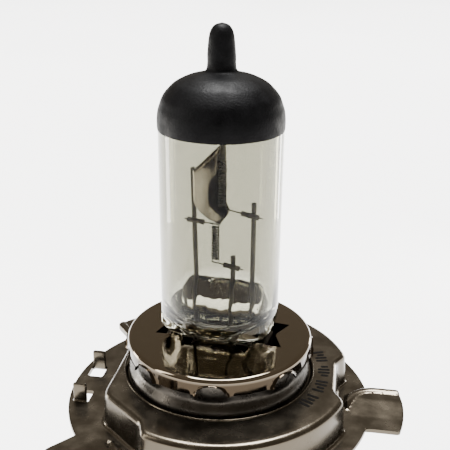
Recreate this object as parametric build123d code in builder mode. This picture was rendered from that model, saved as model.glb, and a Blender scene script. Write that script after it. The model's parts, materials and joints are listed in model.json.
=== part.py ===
from build123d import *
from math import cos, radians, sin
import os

# Twin-filament halogen headlight bulb on a pressed prefocus flange, in millimetres.
# The bulb axis is Z and points to the glass tip. Z = 0 is the front face of the flange plate,
# and +X runs through the middle of the reference lug.

# Flange: one steel pressing with a raised plateau, three lugs and two lanced tabs.
sheet = 0.6
flange_radius = 21.5
plateau_radius = 19.0
plateau_top = 4.9
lug_angles = (0, 130, 230)
lug_reach = 26.2
lug_width = 9.6
lug_flat = 16.8
# Half lengths of the wall's flat at each lug; towards the chord the flat runs on until it meets it.
lug_flat_halves = ((4.3, 4.3, 9.0), (4.3, 9.0, 4.3))
lug_bead_radius = 0.55
bead_bend = 20.6
bead_end = (18.4, 1.8)
chord_flat = 14.4
collar_radius = 13.1
collar_height = 0.5
window_size = (2.3, 2.9)
window_x = -19.1
tab_hinges_y = (3.9, -5.6)
tab_size = (1.9, 0.5, 2.8)

# Cap and sleeve that carry the burner.
cap_top = 10.35
cap_sheet = 0.4
cap_radius = 12.8
skirt_bottom = 8.2
scallop_count = 8
scallop_width = 4.0
scallop_height = 1.5
sleeve_radius = 12.0
sleeve_bottom = -6.0
running_gap = 0.05
scallop_turn = 5
star_notch = (9.6, 3.5)
star_point = (4.4, 5.6)
star_slot = (7.6, 1.6)
star_waist = 2.6
clamp_sheet = 0.4
clamp_height = 6.0
clamp_foot = (6.0, 3.0)

# Burner: quartz envelope, turned a few degrees in the cap when the filaments are focused.
burner_turn = -6.0
glass_radius = 8.0
glass_wall = 1.1
glass_bottom = 11.8
floor_top = 12.9
bottom_curve_radius = 4.2
dome_start = 40.5
dome_shoulder = (5.9, 44.9)
dome_top = 46.3
cavity_top = 45.3
cavity_crown_radius = 9.6
cavity_crown_angle = 31
tip_radius = 1.7
tip_end_radius = 1.25
tip_top = 52.2
coat_thickness = 0.1
coat_bottom = 39.35
pinch_width = 13.4
pinch_thickness = 3.2
pinch_rib = (1.4, 4.2)
pinch_bottom = 2.0

# Metal inside the burner. Places are along the row of posts (row) and up (height).
post_radius = 0.27
common_row, main_row, dipped_row = -3.41, 1.79, 4.46
common_top = (-3.84, 33.9)
main_top = 22.0
dipped_top = 29.6
foil_top = 8.4
foil_bottom = 4.0
foil_width = 1.8
foil_thickness = 0.1
lead_radius = 0.4
bridge_radius = 2.7
bridge_height = 15.9
bridge_ends = (-5.2, 6.1)
clamp_radius = 0.31
clamp_bore = 0.16
clamp_depth = -(post_radius + clamp_radius)
leg_radius = 0.12

coil_radius = 0.33
coil_wire = 0.09
coil_pitch = 0.29
main_coil = (-0.68, 21.3, 26.5)
dipped_coil = (0.24, 28.8, 34.5)
crimp_top = 36.9

shield_clamp_radius = 0.42
shield_clamp_gap = 0.7
shield_clamp_length = 2.2

# Shield: a thin molybdenum boat with its keel against the common post.
shield_sheet = 0.2
shield_half_width = 1.8
shield_keel = -3.5
shield_rim = 0.3
shield_near_rim = -0.8
keel_heights = (29.6, 33.8)
rim_heights = (26.9, 37.6)

# Rear end: shell, insulator and three blade terminals.
shell_wall = 0.5
shell_rim_radius = 13.7
shell_bottom = -17.0
lip_radius = 10.6
insulator_top = -8.0
insulator_bottom = -19.0
blade_width = 8.0
blade_thickness = 0.8
blade_end = -29.7
blade_tail_top = -5.0
blade_offset = 7.6
blade_shift = -1.0

burner = Plane(
    origin=(0, 0, 0),
    x_dir=(cos(radians(burner_turn)), sin(radians(burner_turn)), 0),
    z_dir=(0, 0, 1),
)
burner_side = Plane(origin=(0, 0, 0), x_dir=burner.x_dir, z_dir=-burner.y_dir)


def in_burner(row, depth, height):
    """A point given along the row of posts, across it and up, as a point of the bulb."""
    return burner.from_local_coords(Vector(row, depth, height))


def write(part, name):
    """Label one finished piece and write it to its own STEP file."""
    part.label = name
    export_step(part, f"parts/{name}.step")


def round_wire(points, radius, bend=None):
    """A round wire along straight runs, with tangent bends where a radius is given."""
    with BuildPart() as wire:
        with BuildLine() as route:
            if bend:
                FilletPolyline(*points, radius=bend)
            else:
                Polyline(*points)
        with BuildSketch(Plane(origin=route.line @ 0, z_dir=route.line % 0)):
            Circle(radius)
        sweep()
    return wire.part


os.makedirs("parts", exist_ok=True)

# Three posts: molybdenum wires from the foils up through the quartz bridge.
common_post_part = round_wire(
    (
        in_burner(common_row, 0, foil_top),
        in_burner(common_row, 0, bridge_height + bridge_radius + 0.5),
        in_burner(common_top[0], 0, common_top[1]),
    ),
    post_radius,
    bend=2.0,
)
main_post_part = round_wire((in_burner(main_row, 0, foil_top), in_burner(main_row, 0, main_top)), post_radius)
dipped_post_part = round_wire(
    (in_burner(dipped_row, 0, foil_top), in_burner(dipped_row, 0, dipped_top)), post_radius
)
write(common_post_part, "common_post")
write(main_post_part, "main_post")
write(dipped_post_part, "dipped_post")
posts = (common_post_part, main_post_part, dipped_post_part)

# Three sealing foils in the pinch, one under each post.
foils = []
for name, row in (("common", common_row), ("main", main_row), ("dipped", dipped_row)):
    with BuildPart() as foil:
        with BuildSketch(Plane(origin=in_burner(row, 0, foil_bottom), x_dir=burner.x_dir, z_dir=(0, 0, 1))):
            Rectangle(foil_width, foil_thickness)
        extrude(amount=foil_top - foil_bottom)
    foils.append(foil.part)
    write(foil.part, f"{name}_foil")

# Three outer leads, from the foils to the tails of the blades.
inner_face = blade_offset - blade_thickness / 2 - lead_radius
lead_ends = {
    "common": (-2.6, inner_face),
    "main": (1.4, -inner_face),
    "dipped": (inner_face, 0.0),
}
leads = []
for name, row in (("common", common_row), ("main", main_row), ("dipped", dipped_row)):
    end_x, end_y = lead_ends[name]
    lead = round_wire(
        (
            in_burner(row, 0, foil_bottom),
            in_burner(row, 0, 0),
            (end_x, end_y, blade_tail_top + 1.2),
            (end_x, end_y, insulator_top + 0.4),
        ),
        lead_radius,
        bend=0.9,
    )
    leads.append(lead)
    write(lead, f"{name}_lead")

# Quartz bridge: a round bar melted around the three posts.
with BuildPart() as quartz_bridge:
    bridge_start = in_burner(bridge_ends[0], 0, bridge_height)
    with BuildSketch(Plane(origin=bridge_start, x_dir=burner.y_dir, z_dir=burner.x_dir)):
        Circle(bridge_radius)
    extrude(amount=bridge_ends[1] - bridge_ends[0])
    fillet(quartz_bridge.edges().filter_by(GeomType.CIRCLE), radius=1.2)
    for post in posts:
        add(post, mode=Mode.SUBTRACT)
write(quartz_bridge.part, "quartz_bridge")

# Quartz envelope: tube, dome, sealed tip and the flat pinch at its foot, in one piece of quartz.
with BuildSketch(Plane.XZ) as glass_outline:
    with BuildLine():
        Line((0, glass_bottom), (bottom_curve_radius, glass_bottom))
        bottom_rise = glass_radius - bottom_curve_radius
        CenterArc((bottom_curve_radius, glass_bottom + bottom_rise), bottom_rise, start_angle=270, arc_size=90)
        Line((glass_radius, glass_bottom + bottom_rise), (glass_radius, dome_start))
        shoulder = TangentArc((glass_radius, dome_start), dome_shoulder, tangent=(0, 1))
        crown = TangentArc(dome_shoulder, (tip_radius + 0.3, dome_top), tangent=shoulder % 1)
        Line(crown @ 1, (tip_radius, dome_top + 0.6))
        Line((tip_radius, dome_top + 0.6), (tip_end_radius, tip_top - tip_end_radius))
        CenterArc((0, tip_top - tip_end_radius), tip_end_radius, start_angle=0, arc_size=90)
        Line((0, tip_top), (0, glass_bottom))
    make_face()

with BuildSketch(Plane.XZ) as cavity_outline:
    inner_radius = glass_radius - glass_wall
    floor_rise = inner_radius - bottom_curve_radius
    with BuildLine():
        Line((0, floor_top), (bottom_curve_radius, floor_top))
        CenterArc((bottom_curve_radius, floor_top + floor_rise), floor_rise, start_angle=270, arc_size=90)
        Line((inner_radius, floor_top + floor_rise), (inner_radius, dome_start))
        crown_centre = (0, cavity_top - cavity_crown_radius)
        inner_crown = CenterArc(crown_centre, cavity_crown_radius, start_angle=90, arc_size=-cavity_crown_angle)
        TangentArc((inner_radius, dome_start), inner_crown @ 1, tangent=(0, 1))
        Line((0, cavity_top), (0, floor_top))
    make_face()

with BuildPart() as quartz_envelope:
    with BuildSketch(Plane.XZ):
        add(glass_outline.sketch_local)
        add(cavity_outline.sketch_local, mode=Mode.SUBTRACT)
    revolve(axis=Axis.Z)
    with BuildSketch(burner.offset(pinch_bottom)):
        Rectangle(pinch_width, pinch_thickness)
        with Locations((pinch_width / 2 - pinch_rib[0] / 2, 0), (pinch_rib[0] / 2 - pinch_width / 2, 0)):
            Rectangle(*pinch_rib)
    extrude(amount=glass_bottom + 0.8 - pinch_bottom)
    for buried in (*posts, *foils, *leads):
        add(buried, mode=Mode.SUBTRACT)
write(quartz_envelope.part, "quartz_envelope")

# Black coating: a thin skin over the dome and the tip.
with BuildPart() as black_top_coating:
    with BuildSketch(Plane.XZ):
        add(glass_outline.sketch_local)
        offset(amount=coat_thickness)
        with Locations((0, coat_bottom)):
            Rectangle(2 * glass_radius, tip_top, align=(Align.MIN, Align.MIN), mode=Mode.INTERSECT)
        add(glass_outline.sketch_local, mode=Mode.SUBTRACT)
    revolve(axis=Axis.Z)
write(black_top_coating.part, "black_top_coating")


def crimp_tube(start, end):
    """A short crimped tube welded across a post."""
    with BuildPart() as tube:
        with BuildSketch(Plane(origin=start, z_dir=end - start)):
            Circle(clamp_radius)
            Circle(clamp_bore, mode=Mode.SUBTRACT)
        extrude(amount=(end - start).length)
    return tube.part


clamp_ends = {
    "common": (in_burner(-4.50, clamp_depth, 26.75), in_burner(-2.00, clamp_depth, 26.40)),
    "main": (in_burner(0.54, clamp_depth, 20.75), in_burner(2.90, clamp_depth, 20.25)),
    "dipped": (in_burner(2.84, clamp_depth, 28.40), in_burner(5.33, clamp_depth, 27.85)),
}
for name, (start, end) in clamp_ends.items():
    write(crimp_tube(start, end), f"{name}_clamp")


def filament(coil, lower_leg, upper_leg):
    """A tungsten coil with its two straight legs, as one piece of wire."""
    row, low, high = coil
    with BuildPart() as wound:
        with BuildLine(Plane(origin=in_burner(row, 0, low), x_dir=burner.x_dir, z_dir=(0, 0, 1))) as winding:
            Helix(pitch=coil_pitch, height=high - low, radius=coil_radius)
        start, stop = winding.line @ 0, winding.line @ 1
        with BuildSketch(Plane(origin=start, z_dir=winding.line % 0)):
            Circle(coil_wire)
        sweep(is_frenet=True)
        add(round_wire((start, *lower_leg), leg_radius))
        add(round_wire((stop, *upper_leg), leg_radius))
    return wound.part


def beyond(start, end, distance):
    """A point on the line of a clamp, past its end."""
    return end + (end - start).normalized() * distance


common_left, common_right = clamp_ends["common"]
main_left, main_right = clamp_ends["main"]
dipped_left, dipped_right = clamp_ends["dipped"]
main_beam_filament = filament(
    main_coil,
    (beyond(main_right, main_left, 0.3), beyond(main_left, main_right, 0.5)),
    (beyond(common_left, common_right, 0.4), beyond(common_right, common_left, 0.45)),
)
dipped_beam_filament = filament(
    dipped_coil,
    (beyond(dipped_right, dipped_left, 0.3), beyond(dipped_left, dipped_right, 0.5)),
    (in_burner(dipped_coil[0], 0, dipped_coil[2] + 0.5), in_burner(dipped_coil[0], 0, crimp_top)),
)
write(main_beam_filament, "main_beam_filament")
write(dipped_beam_filament, "dipped_beam_filament")

# Shield under the dipped filament: a boat with a rounded keel, open towards the reference lug.
with BuildPart() as dipped_beam_shield:
    with BuildSketch(burner_side.offset(-shield_half_width)):
        with BuildLine():
            Polyline(
                (shield_keel, keel_heights[0]),
                (shield_keel, keel_heights[1]),
                (shield_rim, rim_heights[1]),
                (shield_rim, rim_heights[0]),
                close=True,
            )
        make_face()
    extrude(amount=2 * shield_half_width)
    keel_edges = dipped_beam_shield.edges().filter_by(
        lambda edge: abs(abs(burner.to_local_coords(edge @ 0.5).Y) - shield_half_width) < 0.01
        and burner.to_local_coords(edge @ 0.5).X < shield_rim - 0.5
    )
    fillet(keel_edges, radius=0.9)
    open_face = dipped_beam_shield.faces().sort_by(Axis(origin=(0, 0, 0), direction=burner.x_dir))[-1]
    offset(amount=-shield_sheet, openings=open_face)
    with BuildSketch(burner_side):
        with Locations((shield_near_rim, rim_heights[0] - 1)):
            Rectangle(3, rim_heights[1] - rim_heights[0] + 2, align=(Align.MIN, Align.MIN))
    extrude(amount=2 * shield_half_width, mode=Mode.SUBTRACT)
    add(common_post_part, mode=Mode.SUBTRACT)
write(dipped_beam_shield.part, "dipped_beam_shield")

# Crimp tube that hangs the upper filament from the head of the shield.
with BuildPart() as shield_clamp:
    with BuildSketch(
        Plane(origin=in_burner(dipped_coil[0], 0, dipped_coil[2] + shield_clamp_gap), x_dir=burner.x_dir, z_dir=(0, 0, 1))
    ):
        Circle(shield_clamp_radius)
        Circle(clamp_bore, mode=Mode.SUBTRACT)
    extrude(amount=shield_clamp_length)
    add(dipped_beam_shield.part, mode=Mode.SUBTRACT)
write(shield_clamp.part, "shield_clamp")

# Burner cap: pressed disc with a star-shaped opening and a scalloped skirt.
with BuildPart() as burner_cap:
    with BuildSketch(Plane.XY.offset(skirt_bottom)):
        Circle(cap_radius)
    extrude(amount=cap_top - skirt_bottom)
    fillet(burner_cap.edges().group_by(Axis.Z)[-1], radius=0.7)
    with BuildSketch(Plane.XY.offset(skirt_bottom)):
        Circle(cap_radius - cap_sheet)
    extrude(amount=cap_top - cap_sheet - skirt_bottom, mode=Mode.SUBTRACT)
    with BuildSketch(burner.offset(cap_top - cap_sheet)):
        with BuildLine():
            quarter = Polyline(
                (star_slot[0], 0),
                star_slot,
                star_notch,
                (star_slot[0] - 1, star_waist),
                star_point,
                (star_point[0] - 1.2, star_waist),
                (0, star_waist),
            )
            mirror(quarter, about=Plane.YZ)
            mirror(about=Plane.XZ)
        make_face()
    extrude(amount=cap_sheet, mode=Mode.SUBTRACT)
    with BuildSketch(Plane.XZ):
        with Locations((0, skirt_bottom)):
            Rectangle(scallop_width, 2 * scallop_height)
    scallop = extrude(amount=cap_radius + 1, mode=Mode.PRIVATE)
    for index in range(scallop_count):
        add(scallop.rotate(Axis.Z, 360 / scallop_count * index + scallop_turn), mode=Mode.SUBTRACT)
write(burner_cap.part, "burner_cap")

# Sleeve: slides in the flange collar while the burner is focused.
with BuildPart() as burner_sleeve:
    with BuildSketch(Plane.XY.offset(sleeve_bottom)):
        Circle(sleeve_radius)
        Circle(sleeve_radius - cap_sheet, mode=Mode.SUBTRACT)
    extrude(amount=cap_top - cap_sheet - sleeve_bottom)
write(burner_sleeve.part, "burner_sleeve")

# Pinch clamp: a sprung band around the pinch, with two feet under the cap.
clamp_top = cap_top - cap_sheet
with BuildPart() as pinch_clamp:
    with BuildSketch(burner.offset(clamp_top - clamp_height)):
        Rectangle(pinch_width + 2 * clamp_sheet, pinch_rib[1] + 2 * clamp_sheet)
        Rectangle(pinch_width, pinch_rib[1], mode=Mode.SUBTRACT)
    extrude(amount=clamp_height)
    for side in (-1, 1):
        with BuildSketch(burner.offset(clamp_top - clamp_sheet)):
            with Locations((0, side * (pinch_rib[1] + clamp_foot[1]) / 2)):
                Rectangle(*clamp_foot)
        extrude(amount=clamp_sheet)
write(pinch_clamp.part, "pinch_clamp")

# Locating flange.
with BuildPart() as locating_flange:
    lug_places = [Location((0, 0, 0), (0, 0, angle)) for angle in lug_angles]
    with BuildSketch(Plane.XY.offset(-sheet)):
        Circle(flange_radius)
        with Locations(*lug_places):
            Rectangle(lug_reach + 1, lug_width, align=(Align.MIN, Align.CENTER))
        Circle(lug_reach, mode=Mode.INTERSECT)
    extrude(amount=sheet)
    fillet(locating_flange.edges().filter_by(Axis.Z), radius=0.6)
    with BuildSketch() as wall_outline:
        Circle(plateau_radius)
        with Locations((-chord_flat, 0)):
            Rectangle(plateau_radius, 2 * plateau_radius, align=(Align.MAX, Align.CENTER), mode=Mode.SUBTRACT)
        for place, clockwise_half, anticlockwise_half in zip(lug_places, *lug_flat_halves):
            with Locations(place):
                Polygon(
                    (lug_flat, -clockwise_half),
                    (lug_flat + 4, -clockwise_half - 4),
                    (lug_flat + 4, anticlockwise_half + 4),
                    (lug_flat, anticlockwise_half),
                    align=None,
                    mode=Mode.SUBTRACT,
                )
        fillet(wall_outline.vertices(), radius=1.1)
    plateau = extrude(amount=plateau_top)
    fillet(locating_flange.edges().group_by(Axis.Z)[-1], radius=0.8)
    with BuildSketch(Plane.XY.offset(-sheet)):
        add(wall_outline.sketch)
        offset(amount=-sheet)
    extrude(amount=plateau_top, mode=Mode.SUBTRACT)
    with BuildSketch(Plane.XY.offset(plateau_top - sheet)):
        Circle(collar_radius)
    extrude(amount=sheet + collar_height)
    fillet(locating_flange.edges().group_by(Axis.Z)[-1], radius=0.4)
    with BuildSketch(Plane.XY.offset(-sheet)):
        Circle(sleeve_radius + running_gap)
    extrude(amount=plateau_top + 2 * sheet, mode=Mode.SUBTRACT)
    with BuildSketch(Plane.XY.offset(-sheet)):
        for hinge, side in zip(tab_hinges_y, (-1, 1)):
            with Locations((window_x, hinge + side * window_size[1] / 2)):
                Rectangle(*window_size)
    extrude(amount=sheet, mode=Mode.SUBTRACT)
    for hinge, side in zip(tab_hinges_y, (1, -1)):
        with BuildSketch(Plane.XY.offset(-sheet)):
            with Locations((window_x, hinge + side * tab_size[1] / 2)):
                Rectangle(tab_size[0], tab_size[1])
        extrude(amount=sheet + tab_size[2])
    with BuildPart(mode=Mode.PRIVATE) as bead:
        with BuildLine() as bead_route:
            bead_side = lug_width / 2 - lug_bead_radius
            edge_run = Line((lug_reach - 0.6, bead_side), (bead_bend, bead_side))
            TangentArc(edge_run @ 1, bead_end, tangent=edge_run % 1)
        with BuildSketch(Plane(origin=bead_route.line @ 0, z_dir=bead_route.line % 0)):
            Circle(lug_bead_radius)
        sweep()
    for angle in lug_angles:
        add(bead.part.rotate(Axis.Z, angle))
write(locating_flange.part, "locating_flange")

# Rear shell: holds the insulator behind the flange and seats the lamp's rubber boot.
shell_inside = sleeve_radius + running_gap
with BuildPart() as rear_shell:
    with BuildSketch(Plane.XY.offset(shell_bottom)):
        Circle(shell_inside + shell_wall)
    extrude(amount=plateau_top - sheet - shell_bottom)
    with BuildSketch(Plane.XY.offset(plateau_top - sheet - shell_wall)):
        Circle(shell_rim_radius)
    extrude(amount=shell_wall)
    with BuildSketch(Plane.XY.offset(shell_bottom + shell_wall)):
        Circle(shell_inside)
    extrude(amount=plateau_top - shell_bottom, mode=Mode.SUBTRACT)
    with BuildSketch(Plane.XY.offset(shell_bottom)):
        Circle(lip_radius)
    extrude(amount=shell_wall, mode=Mode.SUBTRACT)
    fillet(rear_shell.edges().group_by(Axis.Z)[0].sort_by(SortBy.RADIUS)[-1], radius=0.45)
write(rear_shell.part, "rear_shell")

# Three blade terminals: two side by side and one across, in a U.
blade_places = {
    "common": ((blade_shift, blade_offset), 0),
    "main": ((blade_shift, -blade_offset), 0),
    "dipped": ((blade_offset, 0), 90),
}
blades = []
for name, ((x, y), turn) in blade_places.items():
    across = (cos(radians(turn)), sin(radians(turn)), 0)
    out = (sin(radians(turn)), -cos(radians(turn)), 0)
    with BuildPart() as blade:
        with BuildSketch(Plane(origin=(x, y, 0), x_dir=across, z_dir=out)) as outline:
            with Locations((0, blade_end)):
                Rectangle(blade_width, insulator_top - blade_end, align=(Align.CENTER, Align.MIN))
            chamfer(outline.vertices().group_by(Axis.Z)[0], length=1.2)
            with Locations((0, insulator_top)):
                Rectangle(5.0, blade_tail_top - insulator_top, align=(Align.CENTER, Align.MIN))
        extrude(amount=blade_thickness / 2, both=True)
    blades.append(blade.part)
    write(blade.part, f"{name}_blade")

# Insulator: carries the three blades.
with BuildPart() as insulator:
    with BuildSketch(Plane.XY.offset(shell_bottom + shell_wall)):
        Circle(shell_inside)
    extrude(amount=insulator_top - shell_bottom - shell_wall)
    with BuildSketch(Plane.XY.offset(insulator_bottom)):
        Circle(lip_radius)
    extrude(amount=insulator_top - insulator_bottom)
    chamfer(insulator.edges().group_by(Axis.Z)[0], length=0.5)
    for blade_part in blades:
        add(blade_part, mode=Mode.SUBTRACT)
    for lead in leads:
        add(lead, mode=Mode.SUBTRACT)
write(insulator.part, "insulator")
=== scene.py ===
# %% [markdown]
# # A halogen headlight bulb
# The bulb has three groups of pieces. A quartz burner holds two tungsten coils, a polished shield
# and the wires that feed them. A pressed cap and a sleeve carry the burner. A flange with three
# lugs and three blade terminals fix the bulb in a lamp and connect it.
# The CAD model gives every place and size, so this file starts by loading it. Sizes on a bulb are
# easier to check in millimetres, so the numbers below are in millimetres, and one helper turns
# them into Blender's metres.

# %% Load the frame
import json
from math import atan2, cos, exp, hypot, pi, radians, sin, sqrt

import bpy
from mathutils import Matrix, Vector, noise

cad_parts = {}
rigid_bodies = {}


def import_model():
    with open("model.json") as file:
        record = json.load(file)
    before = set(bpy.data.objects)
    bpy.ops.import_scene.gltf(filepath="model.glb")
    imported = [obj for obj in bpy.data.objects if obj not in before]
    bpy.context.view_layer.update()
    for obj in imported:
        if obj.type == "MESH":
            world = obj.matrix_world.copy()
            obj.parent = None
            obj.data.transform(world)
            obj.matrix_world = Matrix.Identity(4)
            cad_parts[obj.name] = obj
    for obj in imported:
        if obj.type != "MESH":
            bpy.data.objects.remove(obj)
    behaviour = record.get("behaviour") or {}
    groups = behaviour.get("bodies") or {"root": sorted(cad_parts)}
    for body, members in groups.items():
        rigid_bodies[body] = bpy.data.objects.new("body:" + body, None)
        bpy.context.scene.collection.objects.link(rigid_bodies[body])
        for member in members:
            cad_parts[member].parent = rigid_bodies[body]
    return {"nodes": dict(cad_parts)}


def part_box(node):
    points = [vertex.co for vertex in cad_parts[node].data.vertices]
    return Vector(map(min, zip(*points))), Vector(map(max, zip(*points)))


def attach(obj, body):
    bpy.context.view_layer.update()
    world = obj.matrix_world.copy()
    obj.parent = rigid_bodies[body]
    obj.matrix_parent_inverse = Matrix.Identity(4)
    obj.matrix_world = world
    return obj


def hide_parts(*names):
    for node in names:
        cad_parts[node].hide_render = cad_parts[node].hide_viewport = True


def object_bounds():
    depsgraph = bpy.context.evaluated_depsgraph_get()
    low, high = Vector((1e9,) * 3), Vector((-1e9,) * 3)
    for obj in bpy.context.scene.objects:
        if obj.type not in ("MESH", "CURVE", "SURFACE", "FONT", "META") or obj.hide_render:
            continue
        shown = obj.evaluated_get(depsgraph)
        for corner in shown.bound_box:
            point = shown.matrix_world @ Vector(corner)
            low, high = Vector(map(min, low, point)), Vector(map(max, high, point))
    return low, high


for leftover in list(bpy.data.objects):
    bpy.data.objects.remove(leftover)
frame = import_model()
cad_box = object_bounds()
METRE = 0.001


def box_mm(node):
    """Lowest and highest corner of a CAD node, in millimetres."""
    low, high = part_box(node)
    return low / METRE, high / METRE


print("pieces in the frame:", len(frame["nodes"]))

# %% [markdown]
# ## The burner's own direction
# When the filaments are focused, the burner is turned a few degrees in its cap. Everything inside
# the glass is easier to place along the row of posts (row), across it (depth) and up (height), so
# one helper turns such a place into a point of the bulb. The turn is measured from the CAD model:
# the two outer posts stand on the row.

# %% Find the row of posts
def middle_mm(node):
    """Middle of a CAD node's box, in millimetres."""
    low, high = box_mm(node)
    return (low + high) / 2


row_line = middle_mm("dipped_post") - middle_mm("main_post")
burner_turn = atan2(row_line.y, row_line.x)
row_axis = Vector((cos(burner_turn), sin(burner_turn), 0))
depth_axis = Vector((-sin(burner_turn), cos(burner_turn), 0))


def in_burner(row, depth, height):
    """A point along the row of posts, across it and up, as a point of the bulb."""
    return row_axis * row + depth_axis * depth + Vector((0, 0, height))


def row_of(node):
    """How far along the row a CAD node stands."""
    return middle_mm(node).dot(row_axis)


# The common post leans, so its middle says little about its foot, and its row is given.
common_row, main_row, dipped_row = -3.41, row_of("main_post"), row_of("dipped_post")
print("burner turned by", round(burner_turn * 180 / pi, 2), "degrees")
print("posts at", common_row, round(main_row, 2), round(dipped_row, 2), "mm along the row")

# %% [markdown]
# ## Camera
# The bulb is seen from the front and from a little above, near enough to feel the perspective. A
# bulb is small beside Blender's usual metre, so the camera's near clipping distance comes down
# with it, or the glass would be cut away.

# %% Place the camera
camera_place = Vector((15.33, -91.64, 62.88)) * METRE
camera_heading, camera_down, camera_roll = 9.124, 21.554, 0.563
lens_length = 60.37
lens = bpy.data.cameras.new("camera")
lens.lens = lens_length
lens.sensor_width = 36
lens.clip_start = 0.004
lens.clip_end = 20
camera = bpy.data.objects.new("camera", lens)
bpy.context.scene.collection.objects.link(camera)
camera.matrix_world = (
    Matrix.Translation(camera_place)
    @ Matrix.Rotation(radians(camera_heading), 4, "Z")
    @ Matrix.Rotation(radians(90 - camera_down), 4, "X")
    @ Matrix.Rotation(radians(camera_roll), 4, "Z")
)
bpy.context.scene.camera = camera
print("camera is", round(camera_place.length / METRE), "mm from the flange")

# %% [markdown]
# ## Helpers for round work
# Most of this bulb is drawn, pressed or blown round one axis. Blender's Screw modifier could turn
# a profile, but a list of rings does more: a ring may be a circle, a rounded bar or the outline of
# a pressed wall, as long as neighbouring rings have the same number of points.

# %% Build a mesh from rings
def add_piece(name, mesh_data, material, node=None, sharp=34):
    """A mesh from points in millimetres that rides on the bulb, with its sharp corners kept."""
    points, faces = mesh_data
    mesh = bpy.data.meshes.new(name)
    mesh.from_pydata([Vector(p) * METRE for p in points], [], faces)
    mesh.polygons.foreach_set("use_smooth", [True] * len(mesh.polygons))
    mesh.set_sharp_from_angle(angle=radians(sharp))
    mesh.materials.append(material)
    piece = bpy.data.objects.new(name, mesh)
    bpy.context.scene.collection.objects.link(piece)
    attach(piece, "root")
    if node:
        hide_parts(node)
    return piece


def join_rings(rings, close=False):
    """Points and faces of a skin over rings; a ring of one point is a pole."""
    points, starts = [], []
    for ring in rings:
        starts.append(len(points))
        points.extend(ring)
    pairs = list(zip(range(len(rings) - 1), range(1, len(rings))))
    if close:
        pairs.append((len(rings) - 1, 0))
    faces = []
    for a, b in pairs:
        here, there = len(rings[a]), len(rings[b])
        for i in range(max(here, there)):
            j = i + 1
            corners = (
                starts[a] + i % here,
                starts[a] + j % here,
                starts[b] + j % there,
                starts[b] + i % there,
            )
            faces.append(list(dict.fromkeys(corners)))
    return points, faces


def merge_skins(*skins):
    """Several skins as one mesh."""
    points, faces = [], []
    for skin_points, skin_faces in skins:
        start = len(points)
        points.extend(skin_points)
        faces.extend([[start + i for i in face] for face in skin_faces])
    return points, faces


def flip(skin):
    """The same skin, facing the other way."""
    points, faces = skin
    return points, [face[::-1] for face in faces]


two_rings = join_rings([[(0, 0, 0), (1, 0, 0)], [(0, 1, 0), (1, 1, 0)]])
print("a skin over two rings of 2 points has", len(two_rings[1]), "faces")

# %% [markdown]
# ## Helpers for rings and wires
# A turned piece is a list of level rings, a wire is a list of small rings along a line. A smooth
# line through a few known points is easier to correct than a long list of points, so lines are
# given by their corners and rounded here.

# %% Make rings, arcs, lines and wires
def turns(count):
    """Evenly spaced angles of one whole turn."""
    return [2 * pi * i / count for i in range(count)]


def circle_ring(radius, height, count):
    """A level ring of points; a radius of nothing gives one point."""
    if radius < 1e-6:
        return [(0, 0, height)]
    return [(radius * cos(t), radius * sin(t), height) for t in turns(count)]


def lathe(profile, count):
    """A turned skin over a profile of (radius, height) points that goes up along its outside."""
    return join_rings([circle_ring(r, z, count) for r, z in profile])


def signed_power(value, power):
    """A power that keeps the sign: low powers square a circle off."""
    return abs(value) ** power * (1 if value >= 0 else -1)


def arc(centre_r, centre_z, radius, start, stop, steps=6):
    """Profile points along an arc, with its angles in degrees."""
    angles = [radians(start + (stop - start) * i / steps) for i in range(steps + 1)]
    return [(centre_r + radius * cos(a), centre_z + radius * sin(a)) for a in angles]


def smooth_line(points, steps=6):
    """A smooth line through given points: a Catmull-Rom curve."""
    points = [Vector(p) for p in points]
    padded = [points[0] * 2 - points[1], *points, points[-1] * 2 - points[-2]]
    line = [points[0]]
    for a, b, c, d in zip(padded, padded[1:], padded[2:], padded[3:]):
        for step in range(1, steps + 1):
            t = step / steps
            square, cube = (a * 2 - b * 5 + c * 4 - d) * t**2, (b * 3 - a - c * 3 + d) * t**3
            line.append((b * 2 + (c - a) * t + square + cube) * 0.5)
    return line


def tube(points, radius, sides=12, swell=None):
    """A round wire along points, closed at both ends. swell(t) scales the radius along it."""
    points = [Vector(p) for p in points]
    last = len(points) - 1
    side = (points[1] - points[0]).orthogonal().normalized()
    rings = [[points[0]]]
    for i, point in enumerate(points):
        tangent = (points[min(i + 1, last)] - points[max(i - 1, 0)]).normalized()
        side = (side - tangent * side.dot(tangent)).normalized()
        other = tangent.cross(side)
        size = radius * (swell(i / last) if swell else 1)
        rings.append([point + (side * cos(t) + other * sin(t)) * size for t in turns(sides)])
    rings.append([points[-1]])
    return join_rings(rings)


print("a smooth line through 3 points has", len(smooth_line([(0, 0), (1, 1), (2, 0)])), "points")

# %% [markdown]
# ## Helpers for materials
# Every finish is a Principled shader with nodes that break up its colour, its roughness and its
# surface. Object coordinates are in metres, so a noise with a scale of 1000 has features of about
# a millimetre. One helper makes the noise and the ramp that most finishes share.

# %% Wire up a finish
def new_material(name):
    """An empty Principled material and its node tree."""
    material = bpy.data.materials.new(name)
    material.use_nodes = True
    return material, material.node_tree, material.node_tree.nodes["Principled BSDF"]


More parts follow.
